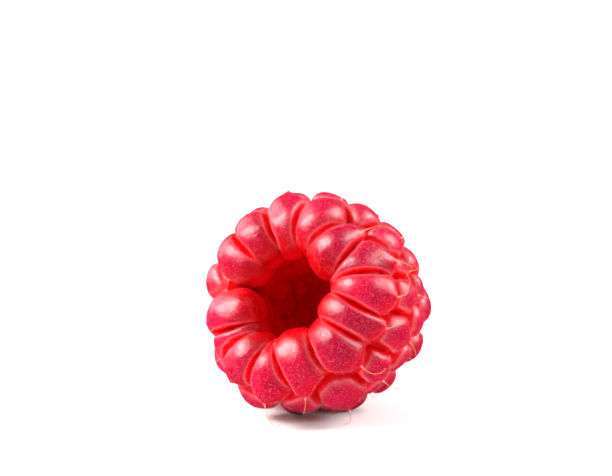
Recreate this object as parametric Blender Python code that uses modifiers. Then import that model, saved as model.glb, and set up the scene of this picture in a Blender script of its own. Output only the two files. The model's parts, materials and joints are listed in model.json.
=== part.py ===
"""A ripe raspberry, picked off its core: one fruit of drupelets grown together round an open hollow.

The fruit is worked out standing on its tip, with its axis along +Z and the mouth of the hollow on
top, and then laid on its side with the mouth towards -Y and tipped up. Metres, +Z up, floor at Z 0.
"""

import math
import random
from collections import namedtuple

import bmesh
import bpy
from mathutils import Euler, Vector

MM = 0.001

# How the fruit lies: the mouth is tipped up from the floor, and the fruit sinks onto flattened spots.
MOUTH_TIP_UP = math.radians(23.0)
PLACE = Vector((0.08, 10.6, 5.97)) * MM

# The two rows at the mouth: where each drupelet sits round the axis, in degrees as seen looking into
# the hollow, 0 to the right and 90 up, and how far it is pushed out from the axis and raised, in mm.
Seat = namedtuple("Seat", "degrees out raised")
RING_SEATS = (
    Seat(131, -0.2, 0.2),
    Seat(104, 0.1, 0.0),
    Seat(78, 0.2, 0.0),
    Seat(52, -0.8, 0.5),
    Seat(28, 0.5, -0.4),
    Seat(8, 0.1, 0.3),
    Seat(-12, -0.3, 0.3),
    Seat(-39, -0.5, 0.3),
    Seat(-75, -0.5, 0.4),
    Seat(-97, 0.9, 0.0),
    Seat(-118, 0.3, 0.0),
    Seat(-138, 0.2, -0.2),
    Seat(-156, -0.5, 0.1),
    Seat(152, 0.1, -0.2),
)
SECOND_SEATS = (
    Seat(173, 0.0, 0.3),
    Seat(152, 0.0, 0.0),
    Seat(131, 0.0, 0.0),
    Seat(109, 0.1, 0.0),
    Seat(86, 0.0, 0.0),
    Seat(63, 0.1, 0.0),
    Seat(42, 0.0, 0.1),
    Seat(27, 0.0, 0.0),
    Seat(10, 0.0, 0.1),
    Seat(-12, -0.1, 0.1),
    Seat(-34, -0.1, 0.0),
    Seat(-58, 0.0, 0.3),
    Seat(-84, 0.0, 0.0),
    Seat(-111, 0.2, 0.2),
    Seat(-137, 0.0, 0.0),
    Seat(-163, 0.0, 0.0),
)

SEATS = (RING_SEATS, SECOND_SEATS)

# One line of the table is one row of drupelets, from the mouth to the tip. centre_out and centre_up
# place a drupelet's middle from the axis and from the tip, lean is how far its dome faces up from
# straight out, across, along and deep are its half sizes round the fruit, down its side and through
# it, and the last two are the facets of its mesh round the dome and from dome to root.
Row = namedtuple("Row", "count centre_out centre_up lean across along deep sides rings")
ROWS = (
    Row(14, 6.6, 17.1, 60, 2.60, 3.00, 3.0, 12, 7),
    Row(16, 7.3, 14.0, 24, 2.70, 2.90, 3.3, 11, 7),
    Row(16, 7.5, 10.6, 1, 2.65, 2.90, 3.4, 10, 6),
    Row(13, 6.7, 7.4, -26, 2.70, 2.80, 3.4, 10, 6),
    Row(9, 4.8, 5.2, -50, 2.60, 2.70, 3.3, 10, 6),
    Row(5, 2.4, 4.3, -73, 2.50, 2.50, 3.2, 10, 6),
    Row(1, 0.0, 4.0, -90, 2.00, 2.00, 3.0, 10, 6),
)

# How unlike each other the drupelets are.
SEED = 11
ANGLE_PLAY = 0.10
PLACE_PLAY = 0.22
SIZE_PLAY = 0.07

# A drupelet's form: a plump rounded box, flattened where its neighbours press on it.
PLUMPNESS = 2.5
PRESS_SHARPNESS = 10.0
PRESS_OVERLAP = 0.16
PRESS_SPLAY = 0.07
NEIGHBOUR_REACH = 7.5
BEAK_RISE = 0.35
BEAK_SPREAD = math.radians(24.0)
BEAK_TILT = math.radians(52.0)

# The flesh that the drupelets' sides join in, as a profile of (out, up) from the outside of the tip,
# round the rim and down the hollow to its end, in mm.
FLESH_PROFILE = (
    (0.0, 2.2),
    (3.4, 2.5),
    (6.3, 3.8),
    (8.6, 6.6),
    (9.5, 10.6),
    (9.1, 14.6),
    (7.9, 17.5),
    (6.6, 18.6),
    (5.2, 17.4),
    (4.9, 14.0),
    (4.8, 11.0),
    (4.3, 9.0),
    (3.2, 7.6),
    (1.8, 7.0),
    (0.0, 6.8),
)
FLESH_STEPS = 28

FLOOR_BLOCK = 0.06

RED = (0.62, 0.010, 0.045, 1.0)
ROUGHNESS = 0.42


class Drupelet:
    """One drupelet: its middle, its three directions and its half sizes, in mm."""

    def __init__(self, angle, row, rng, seat=None):
        lean = math.radians(row.lean)
        away = Vector((math.cos(angle), math.sin(angle), 0.0))
        up = Vector((0.0, 0.0, 1.0))
        self.out = away * math.cos(lean) + up * math.sin(lean)
        self.tipward = away * math.sin(lean) - up * math.cos(lean)
        self.across = self.out.cross(self.tipward)
        self.middle = away * row.centre_out + up * row.centre_up
        if seat:
            self.middle += away * seat.out + self.out * seat.raised
        self.middle += self.out * rng.uniform(-PLACE_PLAY, PLACE_PLAY)
        self.middle += self.tipward * rng.uniform(-PLACE_PLAY, PLACE_PLAY)
        size = 1.0 + rng.uniform(-SIZE_PLAY, SIZE_PLAY)
        self.halves = (row.across * size, row.along * size, row.deep)
        self.facets = (row.sides, row.rings)
        self.beak = self.out * math.cos(BEAK_TILT) + self.tipward * math.sin(BEAK_TILT)
        self.walls = []

    def press_against(self, others):
        """Finds the flat walls that the neighbours press into this drupelet."""
        for other in others:
            apart = other.middle - self.middle
            if other is not self and apart.length < NEIGHBOUR_REACH:
                share = self.halves[0] / (self.halves[0] + other.halves[0])
                normal = (apart.normalized() + self.out * PRESS_SPLAY).normalized()
                self.walls.append((normal, apart.length * share + PRESS_OVERLAP))

    def reach(self, way):
        """How far the skin is from the middle, along a unit direction."""
        parts = (way.dot(self.across), way.dot(self.tipward), way.dot(self.out))
        plump = sum(abs(part / half) ** PLUMPNESS for part, half in zip(parts, self.halves))
        pressed = plump ** (PRESS_SHARPNESS / PLUMPNESS)
        for normal, distance in self.walls:
            pressed += max(0.0, way.dot(normal) / distance) ** PRESS_SHARPNESS
        beak = BEAK_RISE * math.exp(-((way.angle(self.beak) / BEAK_SPREAD) ** 2))
        return pressed ** (-1.0 / PRESS_SHARPNESS) + beak


def row_angles(rng):
    """The angle of each drupelet in each row: a row as full as the one before it sits in its gaps."""
    rows = [[math.radians(seat.degrees) for seat in seats] for seats in SEATS]
    for row in ROWS[len(SEATS):]:
        before = sorted(rows[-1])
        if row.count == len(before):
            following = before[1:] + [before[0] + math.tau]
            rows.append([(a + b) / 2 for a, b in zip(before, following)])
        else:
            step = math.tau / row.count
            start = rng.uniform(0.0, step)
            play = step * ANGLE_PLAY
            rows.append([start + step * n + rng.uniform(-play, play) for n in range(row.count)])
    return rows


def grow_drupelets():
    rng = random.Random(SEED)
    drupelets = []
    for place, (row, angles) in enumerate(zip(ROWS, row_angles(rng))):
        for n, angle in enumerate(angles):
            seat = SEATS[place][n] if place < len(SEATS) else None
            drupelets.append(Drupelet(angle, row, rng, seat))
    for drupelet in drupelets:
        drupelet.press_against(drupelets)
    return drupelets


def drupelet_mesh(drupelet):
    """A ball with its pole on the dome, each point moved out or in to the drupelet's skin."""
    ball = bmesh.new()
    sides, rings = drupelet.facets
    bmesh.ops.create_uvsphere(ball, u_segments=sides, v_segments=rings, radius=1.0)
    for vertex in ball.verts:
        x, y, z = vertex.co
        way = drupelet.across * x + drupelet.tipward * y + drupelet.out * z
        way.normalize()
        vertex.co = (drupelet.middle + way * drupelet.reach(way)) * MM
    bmesh.ops.recalc_face_normals(ball, faces=ball.faces)
    mesh = bpy.data.meshes.new("drupelet")
    ball.to_mesh(mesh)
    ball.free()
    return mesh


def turned_flesh():
    """The joined flesh under the drupelets, a cup turned round the axis."""
    mesh = bpy.data.meshes.new("flesh")
    points = [(out * MM, 0.0, up * MM) for out, up in reversed(FLESH_PROFILE)]
    mesh.from_pydata(points, [(n, n + 1) for n in range(len(points) - 1)], [])
    flesh = bpy.data.objects.new("raspberry", mesh)
    screw = flesh.modifiers.new("Turn", "SCREW")
    screw.steps = FLESH_STEPS
    screw.render_steps = FLESH_STEPS
    screw.use_merge_vertices = True
    screw.merge_threshold = 0.00002
    screw.use_normal_calculate = True
    return flesh


def apply_modifiers(thing):
    """Puts the evaluated mesh in place of the object's own and clears its modifiers."""
    bpy.context.view_layer.update()
    evaluated = thing.evaluated_get(bpy.context.evaluated_depsgraph_get())
    mesh = bpy.data.meshes.new_from_object(evaluated)
    thing.modifiers.clear()
    thing.data = mesh


def close_outside(mesh):
    """Keeps the outer skin alone: the sealed pockets between the drupelets fill with flesh."""
    skin = bmesh.new()
    skin.from_mesh(mesh)
    left = set(skin.verts)
    shells = []
    while left:
        shell = {left.pop()}
        edge_of_shell = list(shell)
        while edge_of_shell:
            vertex = edge_of_shell.pop()
            for edge in vertex.link_edges:
                other = edge.other_vert(vertex)
                if other not in shell:
                    shell.add(other)
                    edge_of_shell.append(other)
        left -= shell
        shells.append(shell)
    shells.sort(key=len)
    inner = [vertex for shell in shells[:-1] for vertex in shell]
    bmesh.ops.delete(skin, geom=inner, context="VERTS")
    bmesh.ops.triangulate(skin, faces=skin.faces)
    skin.to_mesh(mesh)
    skin.free()


def grow_fruit(home):
    """Fuses the drupelets with the flesh into one body."""
    fruit = turned_flesh()
    home.objects.link(fruit)
    apply_modifiers(fruit)
    cluster = bpy.data.collections.new("drupelets")
    bpy.context.scene.collection.children.link(cluster)
    for drupelet in grow_drupelets():
        cluster.objects.link(bpy.data.objects.new("drupelet", drupelet_mesh(drupelet)))
    fuse = fruit.modifiers.new("Fuse", "BOOLEAN")
    fuse.operation = "UNION"
    fuse.operand_type = "COLLECTION"
    fuse.collection = cluster
    fuse.solver = "EXACT"
    apply_modifiers(fruit)
    for drupelet in list(cluster.objects):
        bpy.data.objects.remove(drupelet)
    bpy.data.collections.remove(cluster)
    close_outside(fruit.data)
    return fruit


def lay_down(fruit, cutters):
    """Tips the fruit onto its side and flattens the drupelets that it rests on."""
    fruit.rotation_euler = Euler((math.pi / 2 - MOUTH_TIP_UP, 0.0, 0.0))
    fruit.location = PLACE
    bpy.ops.mesh.primitive_cube_add(size=FLOOR_BLOCK, location=(0.0, 0.0, -FLOOR_BLOCK / 2))
    floor = bpy.context.active_object
    floor.name = "floor_cutter"
    floor.hide_render = True
    floor.display_type = "WIRE"
    for collection in list(floor.users_collection):
        collection.objects.unlink(floor)
    cutters.objects.link(floor)
    flatten = fruit.modifiers.new("Rest", "BOOLEAN")
    flatten.operation = "DIFFERENCE"
    flatten.object = floor
    flatten.solver = "EXACT"


def skin_material():
    material = bpy.data.materials.new("drupelet_skin")
    material.use_nodes = True
    shader = material.node_tree.nodes["Principled BSDF"]
    shader.inputs["Base Color"].default_value = RED
    shader.inputs["Roughness"].default_value = ROUGHNESS
    shader.inputs["Metallic"].default_value = 0.0
    return material


def main():
    for thing in list(bpy.data.objects):
        bpy.data.objects.remove(thing)
    parts = bpy.data.collections.new("raspberry")
    cutters = bpy.data.collections.new("cutters")
    bpy.context.scene.collection.children.link(parts)
    bpy.context.scene.collection.children.link(cutters)
    fruit = grow_fruit(parts)
    lay_down(fruit, cutters)
    fruit.data.materials.clear()
    fruit.data.materials.append(skin_material())
    fruit.data.shade_smooth()


main()
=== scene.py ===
import json
import math
import random

import bmesh
import bpy
import numpy as np
from mathutils import Euler, Matrix, Quaternion, Vector
from mathutils.bvhtree import BVHTree

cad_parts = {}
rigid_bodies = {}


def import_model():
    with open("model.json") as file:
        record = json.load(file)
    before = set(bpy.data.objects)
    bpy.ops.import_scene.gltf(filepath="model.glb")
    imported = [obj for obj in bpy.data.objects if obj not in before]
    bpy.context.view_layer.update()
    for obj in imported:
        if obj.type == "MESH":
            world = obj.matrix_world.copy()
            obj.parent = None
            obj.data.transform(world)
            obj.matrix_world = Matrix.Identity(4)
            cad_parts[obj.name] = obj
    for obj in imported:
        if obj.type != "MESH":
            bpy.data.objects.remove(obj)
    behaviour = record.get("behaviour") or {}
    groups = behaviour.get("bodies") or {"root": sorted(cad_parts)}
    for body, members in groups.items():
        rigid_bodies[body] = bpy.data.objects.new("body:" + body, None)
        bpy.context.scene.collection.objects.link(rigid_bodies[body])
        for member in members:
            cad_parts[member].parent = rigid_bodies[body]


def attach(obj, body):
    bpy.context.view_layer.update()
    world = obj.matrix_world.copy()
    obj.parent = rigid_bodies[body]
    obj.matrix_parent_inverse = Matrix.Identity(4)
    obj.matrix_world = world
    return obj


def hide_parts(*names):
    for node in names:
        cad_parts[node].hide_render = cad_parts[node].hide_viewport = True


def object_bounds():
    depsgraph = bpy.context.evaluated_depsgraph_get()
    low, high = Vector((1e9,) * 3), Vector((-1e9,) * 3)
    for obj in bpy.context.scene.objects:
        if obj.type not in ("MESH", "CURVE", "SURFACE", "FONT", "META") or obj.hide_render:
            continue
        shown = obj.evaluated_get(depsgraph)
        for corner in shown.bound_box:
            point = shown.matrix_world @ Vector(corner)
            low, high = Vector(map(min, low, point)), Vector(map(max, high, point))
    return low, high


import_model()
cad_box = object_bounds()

scene = bpy.context.scene

# Camera and light
# A long lens looks into the mouth from a little to its right and above, as in a close product
# photograph. A soft key lamp stands at the upper left, a fill at the right and slightly behind, and
# a weak rim lamp behind at the left. The studio and the floor are kept out of reflections, so that
# the highlights are those of the lamps.
MM = 0.001
CAMERA_AZIMUTH = math.radians(24.0)
CAMERA_ELEVATION = math.radians(13.0)
CAMERA_DISTANCE = 0.29
FRAME_WIDTH = 612
FRAME_HEIGHT = 476
PIXELS_PER_MM = 10.2
FRUIT_PIXEL = (316.5, 300.0)
SENSOR = 36.0

low, high = (Vector(corner) for corner in cad_box)
middle = (low + high) / 2
back = Vector((
    math.sin(CAMERA_AZIMUTH) * math.cos(CAMERA_ELEVATION),
    -math.cos(CAMERA_AZIMUTH) * math.cos(CAMERA_ELEVATION),
    math.sin(CAMERA_ELEVATION),
))
right = Vector((math.cos(CAMERA_AZIMUTH), math.sin(CAMERA_AZIMUTH), 0.0))
upward = back.cross(right)
aim = middle + right * ((FRAME_WIDTH / 2 - FRUIT_PIXEL[0]) / PIXELS_PER_MM * MM)
aim += upward * ((FRUIT_PIXEL[1] - FRAME_HEIGHT / 2) / PIXELS_PER_MM * MM)
camera_data = bpy.data.cameras.new("camera")
camera_data.sensor_width = SENSOR
camera_data.lens = PIXELS_PER_MM / MM * CAMERA_DISTANCE * SENSOR / FRAME_WIDTH
camera_data.clip_start = 0.01
camera = bpy.data.objects.new("camera", camera_data)
camera.location = aim + back * CAMERA_DISTANCE
camera.rotation_euler = back.to_track_quat("Z", "Y").to_euler()
scene.collection.objects.link(camera)
scene.camera = camera


def add_lamp(name, side, height, front, size, watts):
    """A square area lamp, placed in metres from the fruit as the camera sees it."""
    data = bpy.data.lights.new(name, "AREA")
    data.size = size
    data.energy = watts
    lamp = bpy.data.objects.new(name, data)
    toward = Vector((back.x, back.y, 0.0)).normalized()
    lamp.location = middle + right * side + toward * front + Vector((0.0, 0.0, height))
    lamp.rotation_euler = (lamp.location - middle).to_track_quat("Z", "Y").to_euler()
    scene.collection.objects.link(lamp)


def linear(hex_colour):
    """A colour from its sRGB hex value to the linear values that shaders take."""
    values = [int(hex_colour[n:n + 2], 16) / 255 for n in (1, 3, 5)]
    values = [v / 12.92 if v <= 0.04045 else ((v + 0.055) / 1.055) ** 2.4 for v in values]
    return (*values, 1.0)


add_lamp("key_lamp", side=-0.33, height=0.30, front=0.11, size=0.23, watts=4.7)
add_lamp("fill_lamp", side=0.36, height=0.22, front=-0.05, size=0.26, watts=2.8)
add_lamp("rim_lamp", side=-0.30, height=0.12, front=-0.24, size=0.30, watts=0.9)

studio = bpy.data.worlds.new("studio")
studio.use_nodes = True
studio_light = studio.node_tree.nodes["Background"]
studio_light.inputs["Color"].default_value = linear("#FFFFFF")
studio_light.inputs["Strength"].default_value = 0.44
studio.cycles_visibility.glossy = False
scene.world = studio
scene.view_settings.view_transform = "Standard"

# Floor
# White card that the fruit lies on, far wider than the view, so that no edge of it shows. It isn't
# part of the object.
FLOOR_SIZE = 3.0

bpy.ops.mesh.primitive_plane_add(size=FLOOR_SIZE)
floor = bpy.context.active_object
floor.name = "floor"
# Uncoated card: an even white without any gloss, so that only the fruit's soft shadow shows on it.
card = bpy.data.materials.new("white matt card")
card.use_nodes = True
card_shader = card.node_tree.nodes["Principled BSDF"]
card_shader.inputs["Base Color"].default_value = linear("#FBFBFB")
card_shader.inputs["Roughness"].default_value = 0.9
floor.data.materials.append(card)
floor.visible_glossy = False

# Fruit
# One hollow thimble of drupelets, small sacs of juice and flesh that grew pressed together. Each is
# a plump rounded form, flat where a neighbour pressed on it and drawn out to a nub where its style
# grew. The fruit is worked out in mm, standing on its tip, and is then laid on its side.
MOUTH_TIP_UP = math.radians(23.0)
PLACE = Vector((0.08, 10.6, 5.97)) * MM
# Seats of the two rows that show best. Each: angle round the axis in degrees, then how far the
# drupelet is shifted away from the axis, and out along its own dome.
RING_SEATS = (
    (131, -0.2, 0.2),
    (104, 0.1, 0.0),
    (78, 0.2, 0.0),
    (52, -0.8, 0.5),
    (28, 0.5, -0.4),
    (8, 0.1, 0.3),
    (-12, -0.3, 0.3),
    (-39, -0.5, 0.3),
    (-75, -0.5, 0.4),
    (-97, 0.9, 0.0),
    (-118, 0.3, 0.0),
    (-138, 0.2, -0.2),
    (-156, -0.5, 0.1),
    (152, 0.1, -0.2),
)
SECOND_SEATS = (
    (173, 0.0, 0.3),
    (152, 0.0, 0.0),
    (131, 0.0, 0.0),
    (109, 0.1, 0.0),
    (86, 0.0, 0.0),
    (63, 0.1, 0.0),
    (42, 0.0, 0.1),
    (27, 0.0, 0.0),
    (10, 0.0, 0.1),
    (-12, -0.1, 0.1),
    (-34, -0.1, 0.0),
    (-58, 0.0, 0.3),
    (-84, 0.0, 0.0),
    (-111, 0.2, 0.2),
    (-137, 0.0, 0.0),
    (-163, 0.0, 0.0),
)
SEATS = (RING_SEATS, SECOND_SEATS)
# Each row, from the mouth to the tip: count, middle out from the axis, middle up from the tip, lean
# of the dome in degrees, half sizes across, along and deep.
ROWS = (
    (14, 6.6, 17.1, 60, 2.60, 3.00, 3.0),
    (16, 7.5, 14.0, 32, 2.80, 3.15, 3.3),
    (16, 7.4, 10.5, 1, 2.65, 2.90, 3.4),
    (13, 6.7, 7.4, -26, 2.70, 2.80, 3.4),
    (9, 4.8, 5.2, -50, 2.60, 2.70, 3.3),
    (5, 2.4, 4.3, -73, 2.50, 2.50, 3.2),
    (1, 0.0, 4.0, -90, 2.00, 2.00, 3.0),
)
SEED = 11
ANGLE_PLAY = 0.10
PLACE_PLAY = 0.22
SIZE_PLAY = 0.07
# One flank grew slimmer: how far the rows without seats come in there.
SLIM_FLANK_INSET = 0.8
SLIM_FLANK_ANGLE = math.radians(-52.0)
SLIM_FLANK_SPREAD = math.radians(22.0)
# A plumpness of 2 is an ellipsoid, and more is fuller. A sharper press leaves a crisper edge round
# the flat that a neighbour made. Flats of neighbours overlap, so that no slit stays between them,
# and splay, so that the crease opens outwards.
PLUMPNESS = 2.1
RING_PRESS_SHARPNESS = 15.0
PRESS_SHARPNESS = 9.0
PRESS_OVERLAP = 0.12
PRESS_SPLAY = 0.15
NEIGHBOUR_REACH = 7.5
# The skin swells unevenly in a few low waves, draws out to a blunt beak toward the tip, and ends in
# a small nub on the beak.
SWELL = 0.035
SWELL_PITCH = 7.0
SWELL_WAVES = 4
BEAK_RISE = 0.30
BEAK_SPREAD = math.radians(22.0)
BEAK_TILT = math.radians(66.0)
BEAK_TILT_PLAY = math.radians(9.0)
BEAK_SIDEWAYS = (-0.25, 0.15)
NUB_RISE = 0.20
NUB_SPREAD = math.radians(7.0)
# Half of the cup of flesh under the drupelets, out from the axis and up from the tip, from the
# outside of the tip over the lip to the floor of the hollow.
FLESH_PROFILE = (
    (0.0, 2.2),
    (3.4, 2.5),
    (6.3, 3.8),
    (8.6, 6.6),
    (9.5, 10.6),
    (9.1, 14.6),
    (7.9, 17.5),
    (6.6, 18.6),
    (5.2, 17.4),
    (4.9, 14.0),
    (4.8, 11.0),
    (4.3, 9.0),
    (3.2, 7.6),
    (1.8, 7.0),
    (0.0, 6.8),
)
FLESH_STEPS = 96
AXIS_MERGE = 0.02
SUBDIVISIONS = 5
RIDGE_ANGLE = math.radians(9.0)
RIDGE_FACING = -0.3
SHARP_ANGLE = math.radians(38.0)


class Drupelet:
    """One drupelet: its middle, its three directions, its half sizes and its beak, in mm."""

    def __init__(self, angle, row, rng, seat=None):
        _, centre_out, centre_up, lean, across, along, deep = row
        lean = math.radians(lean)
        away = Vector((math.cos(angle), math.sin(angle), 0.0))
        up = Vector((0.0, 0.0, 1.0))
        self.out = away * math.cos(lean) + up * math.sin(lean)
        self.tipward = away * math.sin(lean) - up * math.cos(lean)
        self.across = self.out.cross(self.tipward)
        self.middle = away * centre_out + up * centre_up
        if seat:
            self.middle += away * seat[1] + self.out * seat[2]
        else:
            off_flank = (angle - SLIM_FLANK_ANGLE + math.pi) % math.tau - math.pi
            self.middle -= away * SLIM_FLANK_INSET * math.exp(-((off_flank / SLIM_FLANK_SPREAD) ** 2))
        self.middle += self.out * rng.uniform(-PLACE_PLAY, PLACE_PLAY)
        self.middle += self.tipward * rng.uniform(-PLACE_PLAY, PLACE_PLAY)
        size = 1.0 + rng.uniform(-SIZE_PLAY, SIZE_PLAY)
        self.halves = (across * size, along * size, deep)
        self.sharpness = RING_PRESS_SHARPNESS if row is ROWS[0] else PRESS_SHARPNESS
        self.walls = []

    def press_against(self, others):
        """Notes the flat that each near neighbour presses: its normal, and how far out it is."""
        for other in others:
            apart = other.middle - self.middle
            if other is not self and apart.length < NEIGHBOUR_REACH:
                share = self.halves[0] / (self.halves[0] + other.halves[0])
                normal = (apart.normalized() + self.out * PRESS_SPLAY).normalized()
                self.walls.append((normal, apart.length * share + PRESS_OVERLAP))

    def give_beak(self, rng):
        """Points the beak tipward, and draws the waves that keep the skin from being even."""
        tilt = BEAK_TILT + rng.uniform(-BEAK_TILT_PLAY, BEAK_TILT_PLAY)
        sideways = rng.uniform(*BEAK_SIDEWAYS)
        beak = self.out * math.cos(tilt) + self.tipward * math.sin(tilt) + self.across * sideways
        self.beak = beak.normalized()
        self.waves = []
        for _ in range(SWELL_WAVES):
            pitch = np.array([rng.uniform(-SWELL_PITCH, SWELL_PITCH) for _ in range(3)])
            self.waves.append((pitch, rng.uniform(0.0, math.tau)))

    def skin(self, ways):
        """How far the skin is along each unit direction, and how much of it neighbours flatten."""
        axes = np.array([self.across, self.tipward, self.out])
        plump = (np.abs(ways @ axes.T / np.array(self.halves)) ** PLUMPNESS).sum(axis=1)
        plump = plump ** (self.sharpness / PLUMPNESS)
        walls = np.zeros(len(ways))
        for normal, distance in self.walls:
            walls += np.clip(ways @ np.array(normal) / distance, 0.0, None) ** self.sharpness
        reach = (plump + walls) ** (-1.0 / self.sharpness)
        away = np.arccos(np.clip(ways @ np.array(self.beak), -1.0, 1.0))
        beak = BEAK_RISE * np.exp(-((away / BEAK_SPREAD) ** 2))
        nub = NUB_RISE * np.exp(-((away / NUB_SPREAD) ** 2))
        swell = sum(np.sin(ways @ pitch + start) for pitch, start in self.waves) * SWELL
        return reach + swell + beak + nub, walls / (plump + walls)

    def fill_skin(self, ball):
        """Moves each point of a ball round the middle out or in along its ray, onto the skin."""
        ways = np.array([vertex.co.normalized() for vertex in ball.verts])
        for vertex, point in zip(ball.verts, ways * self.skin(ways)[0][:, None]):
            vertex.co = point
        ball.normal_update()


def row_angles(rng):
    """Each row's angles. A row as long as the one before sits in its gaps, as real drupelets do."""
    rows = [[math.radians(seat[0]) for seat in seats] for seats in SEATS]
    for row in ROWS[len(SEATS):]:
        before = sorted(rows[-1])
        if row[0] == len(before):
            following = before[1:] + [before[0] + math.tau]
            rows.append([(a + b) / 2 for a, b in zip(before, following)])
        else:
            step = math.tau / row[0]
            start = rng.uniform(0.0, step)
            play = step * ANGLE_PLAY
            rows.append([start + step * n + rng.uniform(-play, play) for n in range(row[0])])
    return rows


place_rng = random.Random(SEED)
drupelets = []
for place, (row, angles) in enumerate(zip(ROWS, row_angles(place_rng))):
    for n, angle in enumerate(angles):
        seat = SEATS[place][n] if place < len(SEATS) else None
        drupelets.append(Drupelet(angle, row, place_rng, seat))
beak_rng = random.Random(SEED + 1)
for drupelet in drupelets:
    drupelet.press_against(drupelets)
    drupelet.give_beak(beak_rng)

# Each drupelet starts as a ball. Its ridges get one more cut, so that they come out smooth, all but
# those on its buried side.
cluster = bpy.data.collections.new("drupelets")
scene.collection.children.link(cluster)
for drupelet in drupelets:
    ball = bmesh.new()
    bmesh.ops.create_icosphere(ball, subdivisions=SUBDIVISIONS, radius=1.0)
    drupelet.fill_skin(ball)
    ridges = [
        edge for edge in ball.edges
        if edge.calc_face_angle() > RIDGE_ANGLE
        and edge.verts[0].normal.dot(drupelet.out) > RIDGE_FACING
    ]
    bmesh.ops.subdivide_edges(ball, edges=ridges, cuts=1)
    bmesh.ops.triangulate(ball, faces=ball.faces)
    drupelet.fill_skin(ball)
    mesh = bpy.data.meshes.new("drupelet")
    ball.to_mesh(mesh)
    ball.free()
    mesh.transform(Matrix.Scale(MM, 4) @ Matrix.Translation(drupelet.middle))
    cluster.objects.link(bpy.data.objects.new("drupelet", mesh))

# The cup of flesh is turned from its profile and the drupelets are fused onto it.
profile = bpy.data.meshes.new("flesh")
points = [(out * MM, 0.0, up * MM) for out, up in reversed(FLESH_PROFILE)]
profile.from_pydata(points, [(n, n + 1) for n in range(len(points) - 1)], [])
berry = bpy.data.objects.new("berry", profile)
scene.collection.objects.link(berry)
turning = berry.modifiers.new("Turn", "SCREW")
turning.steps = FLESH_STEPS
turning.render_steps = FLESH_STEPS
turning.use_merge_vertices = True
turning.merge_threshold = AXIS_MERGE * MM
turning.use_normal_calculate = True
fusing = berry.modifiers.new("Fuse", "BOOLEAN")
fusing.operation = "UNION"
fusing.operand_type = "COLLECTION"
fusing.collection = cluster
fusing.solver = "MANIFOLD"
bpy.context.view_layer.update()
fused = bpy.data.meshes.new_from_object(berry.evaluated_get(bpy.context.evaluated_depsgraph_get()))
berry.modifiers.clear()
berry.data = fused
for single in list(cluster.objects):
    bpy.data.objects.remove(single)
bpy.data.collections.remove(cluster)

# Only the fruit's own shell stays, without any closed pocket that fusing left between drupelets.
skin = bmesh.new()
skin.from_mesh(fused)
unvisited = set(skin.verts)
shells = []
while unvisited:
    shell = {unvisited.pop()}
    growing = list(shell)
    while growing:
        vertex = growing.pop()
        for edge in vertex.link_edges:
            other = edge.other_vert(vertex)
            if other not in shell:
                shell.add(other)
                growing.append(other)
    unvisited -= shell
    shells.append(shell)
shells.sort(key=len)
bmesh.ops.delete(skin, geom=[v for shell in shells[:-1] for v in shell], context="VERTS")
bmesh.ops.triangulate(skin, faces=skin.faces)
skin.to_mesh(fused)
skin.free()

# Four measures that the materials and the hairs read: how far each point of the skin lies below
# its drupelet's dome in mm, how flat a neighbour pressed it, how far it is down the hollow, and
# each drupelet's own tone. A point that lies on no drupelet's skin is on the cup.
OWN_SKIN_MISFIT = 0.06
LARGEST_REACH = 4.6
CUP_TONE = 0.5
HOLLOW_RADIUS = 5.2
HOLLOW_EDGE = 1.9
HOLLOW_LIP = 18.6
HOLLOW_FLOOR = 6.2
HOLLOW_SHADE_DEPTH = 4.5

standing = np.empty(len(fused.vertices) * 3)
fused.vertices.foreach_get("co", standing)
standing = standing.reshape(-1, 3) / MM
misfits = np.full(len(standing), OWN_SKIN_MISFIT)
below = np.full(len(standing), LARGEST_REACH)
pressed = np.ones(len(standing))
tones = np.full(len(standing), CUP_TONE)
tone_rng = np.random.default_rng(SEED)
for drupelet in drupelets:
    offsets = standing - np.array(drupelet.middle)
    distances = np.linalg.norm(offsets, axis=1)
    near = np.flatnonzero(distances < LARGEST_REACH)
    reach, flat = drupelet.skin(offsets[near] / distances[near][:, None])
    misfit = np.abs(reach - distances[near])
    closer = misfit < misfits[near]
    own = near[closer]
    misfits[own] = misfit[closer]
    below[own] = drupelet.halves[2] - offsets[own] @ np.array(drupelet.out)
    pressed[own] = flat[closer]
    tones[own] = tone_rng.random()
from_axis = np.linalg.norm(standing[:, :2], axis=1)
down = np.clip((HOLLOW_LIP - standing[:, 2]) / HOLLOW_SHADE_DEPTH, 0.0, 1.0)
down *= np.clip((HOLLOW_RADIUS + HOLLOW_EDGE - from_axis) / HOLLOW_EDGE, 0.0, 1.0)
down *= standing[:, 2] > HOLLOW_FLOOR
measures = {"below_dome": below, "pressed": pressed, "down_hollow": down, "tone": tones}
for name, values in measures.items():
    fused.attributes.new(name, "FLOAT", "POINT").data.foreach_set("value", values)

lie = Euler((math.pi / 2 - MOUTH_TIP_UP, 0.0, 0.0)).to_matrix()
laid = standing @ np.array(lie).T * MM + np.array(PLACE)
laid[:, 2] = np.maximum(laid[:, 2], 0.0)
fused.vertices.foreach_set("co", laid.ravel())
fused.shade_smooth()
fused.set_sharp_from_angle(angle=SHARP_ANGLE)
fused.update()

# Width in mm of one blotch of each pattern in the skin, from how many of them fit in a mm. The cells
# of a real skin are about 0.02 mm wide, too fine to show, so its grain is drawn about ten times as
# coarse, two pixels wide.
CLOUD_WIDTH = 1 / 0.6
DENT_WIDTH = 1 / 1.5
GRAIN_WIDTH = 1 / 5.2
BUMP_DEPTH = 0.05
# Reds down a dome, each at its share of this depth below the top: magenta at the top, and a lighter
# scarlet toward the creases that is painted glow of light through the flesh. Reds down the hollow:
# the darker red part way down is painted shade.
DOME_DEPTH = 5.0
DOME_REDS_AND_GLOW = ((0.0, "#A0022E"), (0.16, "#A00224"), (0.32, "#A40010"), (0.5, "#B40006"))
HOLLOW_REDS_AND_SHADE = ((0.2, "#CC000A"), (0.6, "#AA0004"), (1.0, "#DE0004"))
# Pressed flats have no bloom; their bright clear red is painted glow of light through the flesh.
PRESSED_GLOW_RED = "#DE0008"
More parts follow.
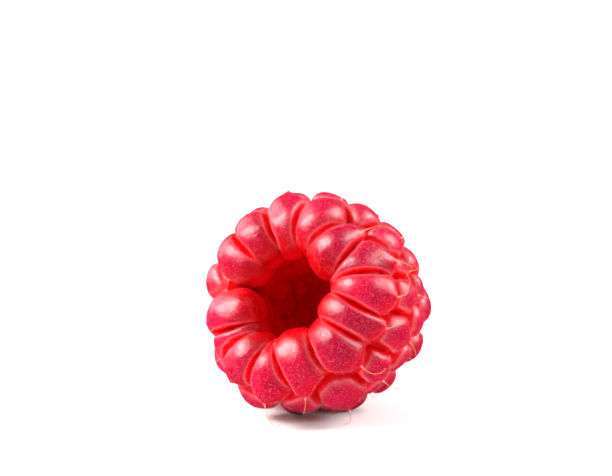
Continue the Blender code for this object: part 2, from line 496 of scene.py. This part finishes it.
# Pale pink of the frost specks and of a line of painted sheen along the ridge round a pressed flat,
# where fuzz seen edge-on catches the light: how much lies on the ridge by how flat it is.
FROST_AND_SHEEN_PINK = "#F7B4C2"
RIDGE_SHEEN = ((0.0, 0.0), (0.1, 0.12), (0.32, 0.75), (0.52, 0.0))
# A face is bare where it is pressed flatter than this, or further down the hollow than this.
BARE_PRESSED = 0.5
BARE_HOLLOW = 0.08


def add_node(material, kind, settings=None, inputs=None, stops=(), in_order=(), **links):
    """Adds a node with its settings, input values and ramp stops, and links outputs of other nodes
    to its inputs, in order or by name.
    """
    node = material.node_tree.nodes.new(kind)
    for name, value in (settings or {}).items():
        setattr(node, name, value)
    for name, value in (inputs or {}).items():
        node.inputs[name].default_value = value
    while stops and len(node.color_ramp.elements) < len(stops):
        node.color_ramp.elements.new(0.5)
    for n, (at, colour) in enumerate(stops):
        node.color_ramp.elements[n].position = at
        node.color_ramp.elements[n].color = colour
    for n, output in enumerate(in_order):
        material.node_tree.links.new(output, node.inputs[n])
    for name, output in links.items():
        material.node_tree.links.new(output, node.inputs[name.replace("_", " ")])
    return node


def skin_material(name):
    """Red flesh seen through thin skin: magenta domes, clear red where pressed with painted glow,
    darker red down the hollow as painted shade.
    """
    material = bpy.data.materials.new(name)
    material.use_nodes = True
    shader = material.node_tree.nodes["Principled BSDF"]
    position = add_node(material, "ShaderNodeTexCoord").outputs["Object"]
    depth, flat, hollow, own_tone = (
        add_node(material, "ShaderNodeAttribute", {"attribute_name": measure}).outputs["Fac"]
        for measure in measures
    )
    cloud = add_node(
        material, "ShaderNodeTexNoise", inputs={"Scale": 1 / (CLOUD_WIDTH * MM), "Detail": 3.0},
        Vector=position,
    )
    dents = add_node(
        material, "ShaderNodeTexNoise", inputs={"Scale": 1 / (DENT_WIDTH * MM), "Detail": 2.0},
        Vector=position,
    )
    grain = add_node(
        material, "ShaderNodeTexNoise",
        inputs={"Scale": 1 / (GRAIN_WIDTH * MM), "Detail": 4.0, "Roughness": 0.7},
        Vector=position,
    )

    # Juice shows darker and lighter: from drupelet to drupelet, in clouds and in the grain.
    toned = add_node(
        material, "ShaderNodeMapRange", inputs={"To Min": 0.88, "To Max": 1.14}, Value=own_tone,
    )
    clouded = add_node(
        material, "ShaderNodeMapRange",
        inputs={"From Min": 0.3, "From Max": 0.7, "To Min": 0.88, "To Max": 1.1},
        Value=cloud.outputs["Fac"],
    )
    grained = add_node(
        material, "ShaderNodeMapRange",
        inputs={"From Min": 0.35, "From Max": 0.65, "To Min": 0.75, "To Max": 1.25},
        Value=grain.outputs["Fac"],
    )
    shade = add_node(
        material, "ShaderNodeMath", {"operation": "MULTIPLY"},
        in_order=(toned.outputs["Result"], clouded.outputs["Result"]),
    )
    brightness = add_node(
        material, "ShaderNodeMath", {"operation": "MULTIPLY"},
        in_order=(shade.outputs["Value"], grained.outputs["Result"]),
    )
    down_dome = add_node(material, "ShaderNodeMapRange", inputs={"From Max": DOME_DEPTH}, Value=depth)
    dome = add_node(
        material, "ShaderNodeValToRGB", stops=[(at, linear(red)) for at, red in DOME_REDS_AND_GLOW],
        Fac=down_dome.outputs["Result"],
    )
    dome_red_and_glow = add_node(
        material, "ShaderNodeHueSaturation", Color=dome.outputs["Color"],
        Value=brightness.outputs["Value"],
    )

    # Pale specks on the top of a dome, partly the fuzz's own pale hairs and partly painted sheen, and
    # a pale line along each ridge, painted sheen where fuzz seen edge-on catches the light.
    specks = add_node(
        material, "ShaderNodeMapRange", inputs={"From Min": 0.52, "From Max": 0.68, "To Max": 0.11},
        Value=grain.outputs["Fac"],
    )
    specks_depth = add_node(
        material, "ShaderNodeMapRange",
        inputs={"From Min": 0.2, "From Max": 2.4, "To Min": 1.0, "To Max": 0.0},
        Value=depth,
    )
    speck_frost_and_sheen = add_node(
        material, "ShaderNodeMath", {"operation": "MULTIPLY"},
        in_order=(specks.outputs["Result"], specks_depth.outputs["Result"]),
    )
    ridge = add_node(
        material, "ShaderNodeValToRGB",
        stops=[(at, (amount, amount, amount, 1.0)) for at, amount in RIDGE_SHEEN],
        Fac=flat,
    )
    ridge_depth = add_node(
        material, "ShaderNodeMapRange",
        inputs={"From Min": 1.2, "From Max": 3.0, "To Min": 0.32, "To Max": 0.0},
        Value=depth,
    )
    ridge_sheen = add_node(
        material, "ShaderNodeMath", {"operation": "MULTIPLY"},
        in_order=(ridge.outputs["Color"], ridge_depth.outputs["Result"]),
    )
    frost_and_sheen = add_node(
        material, "ShaderNodeMath", {"operation": "ADD", "use_clamp": True},
        in_order=(speck_frost_and_sheen.outputs["Value"], ridge_sheen.outputs["Value"]),
    )
    frosted_and_sheened = add_node(
        material, "ShaderNodeMixRGB", inputs={"Color2": linear(FROST_AND_SHEEN_PINK)},
        Fac=frost_and_sheen.outputs["Value"], Color1=dome_red_and_glow.outputs["Color"],
    )

    # A pressed flat is clear red: bare of bloom, and painted brighter as glow of light through the
    # flesh in the creases. The hollow's reds, darker part way down as painted shade, take over within
    # its first fifth.
    pressed_glow = add_node(
        material, "ShaderNodeMixRGB", inputs={"Color2": linear(PRESSED_GLOW_RED)},
        Fac=flat, Color1=frosted_and_sheened.outputs["Color"],
    )
    hollow_shade = add_node(
        material, "ShaderNodeValToRGB", stops=[(at, linear(red)) for at, red in HOLLOW_REDS_AND_SHADE],
        Fac=hollow,
    )
    hollow_shade_share = add_node(
        material, "ShaderNodeMapRange", inputs={"From Max": HOLLOW_REDS_AND_SHADE[0][0]}, Value=hollow,
    )
    hollow_shaded = add_node(
        material, "ShaderNodeMixRGB", Fac=hollow_shade_share.outputs["Result"],
        Color1=pressed_glow.outputs["Color"], Color2=hollow_shade.outputs["Color"],
    )
    dented = add_node(
        material, "ShaderNodeBump", inputs={"Strength": 1.0, "Distance": BUMP_DEPTH * MM},
        Height=dents.outputs["Fac"],
    )
    roughened = add_node(
        material, "ShaderNodeBump", inputs={"Strength": 1.0, "Distance": BUMP_DEPTH * MM},
        Height=grain.outputs["Fac"], Normal=dented.outputs["Normal"],
    )
    material.node_tree.links.new(hollow_shaded.outputs["Color"], shader.inputs["Base Color"])
    material.node_tree.links.new(roughened.outputs["Normal"], shader.inputs["Normal"])
    # Light goes a few mm through the juice, and only its red comes far.
    shader.inputs["Subsurface Weight"].default_value = 0.85
    shader.inputs["Subsurface Radius"].default_value = (1.0, 0.08, 0.10)
    shader.inputs["Subsurface Scale"].default_value = 3.4 * MM
    return material, shader, roughened


# Ripe skin under the waxy bloom that it grew: soft broad highlights from the film, a faint pink
# sheen where it turns away, and no glint from the skin below. The film starts from wax, with an IOR
# of 1.45, and is raised to match the fruit's highlights.
bloom, bloom_shader, bloom_relief = skin_material("raspberry skin with bloom")
bloom_shader.inputs["Roughness"].default_value = 0.44
bloom_shader.inputs["IOR"].default_value = 1.5
bloom_shader.inputs["Specular IOR Level"].default_value = 0.0
bloom_shader.inputs["Coat IOR"].default_value = 1.6
bloom_shader.inputs["Coat Weight"].default_value = 1.0
bloom_shader.inputs["Coat Roughness"].default_value = 0.22
bloom_shader.inputs["Sheen Weight"].default_value = 0.15
bloom_shader.inputs["Sheen Roughness"].default_value = 0.15
bloom_shader.inputs["Sheen Tint"].default_value = linear("#FFB9C6")
bloom.node_tree.links.new(bloom_relief.outputs["Normal"], bloom_shader.inputs["Coat Normal"])
# Skin with neither bloom nor hairs, pressed smooth by a neighbour or by the core: a clear, deep,
# saturated red with hardly any gloss, painted brighter as glow in the creases and darker as shade
# part way down the hollow. Its IOR is that of juice, about 1.36.
smooth, smooth_shader, _ = skin_material("bare raspberry skin, pressed smooth")
smooth_shader.inputs["Roughness"].default_value = 0.5
smooth_shader.inputs["IOR"].default_value = 1.36
smooth_shader.inputs["Specular IOR Level"].default_value = 0.2

fused.materials.clear()
fused.materials.append(bloom)
fused.materials.append(smooth)
corners = np.empty(len(fused.polygons) * 3, np.int32)
fused.polygons.foreach_get("vertices", corners)
corners = corners.reshape(-1, 3)
bare = pressed[corners].mean(axis=1) > BARE_PRESSED
bare |= down[corners].mean(axis=1) > BARE_HOLLOW
fused.polygons.foreach_set("material_index", bare.astype(np.int32))
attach(berry, "root")
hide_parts("raspberry")

# Styles
# The dried threads that pollen once came down, one from the nub of each drupelet. They are brittle,
# curled and tan, and they lie over the neighbouring drupelets. Sizes are in mm.
STYLE_STEPS = 14
STYLE_SIDES = 5
STYLE_LENGTH = (2.0, 3.6)
STYLE_RADIUS = 0.034
STYLE_TAPER = 0.35
STYLE_TIP_SWELL = 1.5
STYLE_FOOT_RADIUS = 0.11
STYLE_FOOT_LENGTH = 0.34
STYLE_ROOT_DEPTH = 0.25
STYLE_RED_LENGTH = 0.9
STYLE_COLOURS = ((0.0, "#DA4460"), (0.3, "#E27C84"), (0.55, "#DCA27C"), (1.0, "#C4864C"))
# How a style grows: its share along the beak at first, its swing and the curl of each step in
# radians, the height over the skin that it seeks, and how fast it may steer there.
STYLE_BEAK_SHARE = 0.6
STYLE_SWING = 1.0
STYLE_CURL = 0.09
STYLE_LIFT = (0.15, 0.9)
STYLE_STEER = 0.5
STYLE_MOST_STEER = 0.22
STYLE_CLEARANCE = 0.07
STYLE_BOX_ALLOWANCE = 0.45
STYLE_FLOOR_GAP = 0.12

surface = BVHTree.FromObject(berry, bpy.context.evaluated_depsgraph_get())
box_low = np.array(low) / MM - STYLE_BOX_ALLOWANCE
box_high = np.array(high) / MM + STYLE_BOX_ALLOWANCE
box_low[2] = STYLE_FLOOR_GAP


def style_path(drupelet, rng):
    """Points in mm from under the nub outwards, kept off the skin and inside the fruit's box."""
    beak = lie @ drupelet.beak
    out = lie @ drupelet.out
    start = lie @ drupelet.middle + PLACE / MM
    start += beak * float(drupelet.skin(np.array([drupelet.beak]))[0][0])
    swing = Quaternion(out, rng.uniform(-STYLE_SWING, STYLE_SWING))
    heading = (beak * STYLE_BEAK_SHARE + swing @ (lie @ drupelet.tipward)).normalized()
    curl = Quaternion(out, rng.uniform(-STYLE_CURL, STYLE_CURL))
    step = rng.uniform(*STYLE_LENGTH) / STYLE_STEPS
    lift = rng.uniform(*STYLE_LIFT)
    points = [start - beak * STYLE_ROOT_DEPTH, start]
    for _ in range(STYLE_STEPS):
        point = points[-1] + heading * step
        spot, normal, _, _ = surface.find_nearest(point * MM)
        height = (point * MM - spot).dot(normal) / MM
        steer = max(-STYLE_MOST_STEER, min(STYLE_MOST_STEER, (lift - height) * STYLE_STEER))
        heading = (curl @ heading + normal * steer).normalized()
        point += normal * max(0.0, STYLE_CLEARANCE - height)
        points.append(Vector(np.clip(np.array(point), box_low, box_high)))
    return points


def style_radii(along):
    """A wide foot that narrows fast, a slow taper, and a small dried knob at the end."""
    radii = [STYLE_FOOT_RADIUS]
    for n in range(1, len(along)):
        foot = max(0.0, 1.0 - (along[n] - along[1]) / STYLE_FOOT_LENGTH)
        thread = STYLE_RADIUS * (1.0 - STYLE_TAPER * n / len(along))
        radii.append(thread + (STYLE_FOOT_RADIUS - STYLE_RADIUS) * foot)
    radii[-1] *= STYLE_TIP_SWELL
    return radii


def style_tube(points, radii, sides):
    """Rings of points along a path, in mm, with the faces that join and close them."""
    rings = []
    side = (points[1] - points[0]).orthogonal()
    for n, point in enumerate(points):
        ahead = points[min(n + 1, len(points) - 1)] - points[max(n - 1, 0)]
        side = (side - ahead * (side.dot(ahead) / ahead.length_squared)).normalized()
        other = ahead.normalized().cross(side)
        for k in range(sides):
            turn = math.tau * k / sides
            rings.append(point + (side * math.cos(turn) + other * math.sin(turn)) * radii[n])
    faces = [tuple(reversed(range(sides)))]
    for n in range(len(points) - 1):
        for k in range(sides):
            a = n * sides + k
            b = n * sides + (k + 1) % sides
            faces.append((a, b, b + sides, a + sides))
    faces.append(tuple(range(len(rings) - sides, len(rings))))
    return rings, faces


style_rng = random.Random(SEED + 2)
style_points = []
style_faces = []
style_along = []
for drupelet in drupelets:
    path = style_path(drupelet, style_rng)
    along = [0.0]
    for a, b in zip(path, path[1:]):
        along.append(along[-1] + (b - a).length)
    rings, faces = style_tube(path, style_radii(along), STYLE_SIDES)
    first = len(style_points)
    style_points += [point * MM for point in rings]
    style_faces += [tuple(first + n for n in face) for face in faces]
    style_along += [min(a / STYLE_RED_LENGTH, 1.0) for a in along for _ in range(STYLE_SIDES)]
threads = bpy.data.meshes.new("styles")
threads.from_pydata(style_points, [], style_faces)
threads.attributes.new("along", "FLOAT", "POINT").data.foreach_set("value", style_along)
threads.shade_smooth()
styles = bpy.data.objects.new("styles", threads)
scene.collection.objects.link(styles)
# Dead plant thread, dried in the air: dull tan, with the fruit's red still in its foot.
dry = bpy.data.materials.new("dried style, brittle tan")
dry.use_nodes = True
dry_shader = dry.node_tree.nodes["Principled BSDF"]
dry_along = add_node(dry, "ShaderNodeAttribute", {"attribute_name": "along"})
dry_colour = add_node(
    dry, "ShaderNodeValToRGB", stops=[(at, linear(colour)) for at, colour in STYLE_COLOURS],
    Fac=dry_along.outputs["Fac"],
)
dry.node_tree.links.new(dry_colour.outputs["Color"], dry_shader.inputs["Base Color"])
dry_shader.inputs["Roughness"].default_value = 0.6
threads.materials.append(dry)
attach(styles, "root")

# Fuzz
# Short fine hairs all over the domes, each a single clear pale cell that stands or leans from the
# skin. Together they give the velvet and the pale edge round each drupelet. Sizes are in mm.
HAIR_COUNT = 44000
HAIR_LENGTH = (0.12, 0.38)
HAIR_RADIUS = 0.009
HAIR_ROOT_DEPTH = 0.02
HAIR_LEAN = 0.75
HAIR_SIDES = 3
# On a ridge, where the skin is pressed by the second value, this many hairs more grow for each one
# elsewhere.
HAIR_RIDGE_CROWDING = 3.0
HAIR_RIDGE_PRESSED = 0.3
# No hair grows deeper below its dome's top, further down the hollow or closer to the floor than
# this, and one that leans down stays above the last height.
HAIR_DEEPEST = 2.6
HAIR_MOST_HOLLOW = 0.05
HAIR_FLOOR_GAP = 0.3
HAIR_LOWEST = 0.02

spots = laid[corners] / MM
crosses = np.cross(spots[:, 1] - spots[:, 0], spots[:, 2] - spots[:, 0])
areas = np.linalg.norm(crosses, axis=1)
hairless = bare | (below[corners].max(axis=1) > HAIR_DEEPEST)
hairless |= down[corners].max(axis=1) > HAIR_MOST_HOLLOW
hairless |= spots[:, :, 2].min(axis=1) < HAIR_FLOOR_GAP
ridged = np.clip(pressed[corners].mean(axis=1) / HAIR_RIDGE_PRESSED, 0.0, 1.0)
weights = np.where(hairless, 0.0, areas * (1.0 + HAIR_RIDGE_CROWDING * ridged))
hair_rng = np.random.default_rng(SEED + 3)
chosen = hair_rng.choice(len(weights), HAIR_COUNT, p=weights / weights.sum())
mix = np.sort(hair_rng.random((HAIR_COUNT, 2)), axis=1)
mix = np.stack([mix[:, 0], mix[:, 1] - mix[:, 0], 1.0 - mix[:, 1]], axis=1)
roots = (spots[chosen] * mix[:, :, None]).sum(axis=1)
normals = crosses[chosen] / areas[chosen][:, None]
leans = hair_rng.normal(size=(HAIR_COUNT, 3)) * HAIR_LEAN
headings = normals + leans - normals * np.minimum((leans * normals).sum(axis=1), 0.0)[:, None]
headings /= np.linalg.norm(headings, axis=1)[:, None]
lengths = hair_rng.uniform(*HAIR_LENGTH, size=HAIR_COUNT)
firsts = np.cross(headings, hair_rng.normal(size=(HAIR_COUNT, 3)))
firsts /= np.linalg.norm(firsts, axis=1)[:, None]
seconds = np.cross(headings, firsts)
hair_points = np.empty((HAIR_COUNT, HAIR_SIDES + 1, 3))
for k in range(HAIR_SIDES):
    turn = math.tau * k / HAIR_SIDES
    hair_points[:, k] = roots + (firsts * math.cos(turn) + seconds * math.sin(turn)) * HAIR_RADIUS
hair_points[:, :HAIR_SIDES] -= headings[:, None] * HAIR_ROOT_DEPTH
hair_points[:, HAIR_SIDES] = roots + headings * lengths[:, None]
hair_points[:, :, 2] = np.maximum(hair_points[:, :, 2], HAIR_LOWEST)
# Three sides that meet at the tip, and the foot.
one_hair = np.array([[0, 1, 3], [1, 2, 3], [2, 0, 3], [2, 1, 0]])
hair_faces = np.arange(HAIR_COUNT)[:, None, None] * (HAIR_SIDES + 1) + one_hair
hairs = bpy.data.meshes.new("fuzz")
hairs.from_pydata((hair_points.reshape(-1, 3) * MM).tolist(), [], hair_faces.reshape(-1, 3).tolist())
fuzz = bpy.data.objects.new("fuzz", hairs)
scene.collection.objects.link(fuzz)
# Plant hair, one thin-walled cell: nearly clear, so that each one only adds a faint pink-white line.
hair = bpy.data.materials.new("fine pale hair")
hair.use_nodes = True
hair_shader = hair.node_tree.nodes["Principled BSDF"]
hair_shader.inputs["Base Color"].default_value = linear("#F4889C")
hair_shader.inputs["Alpha"].default_value = 0.33
hair_shader.inputs["Roughness"].default_value = 0.45
hairs.materials.append(hair)
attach(fuzz, "root")
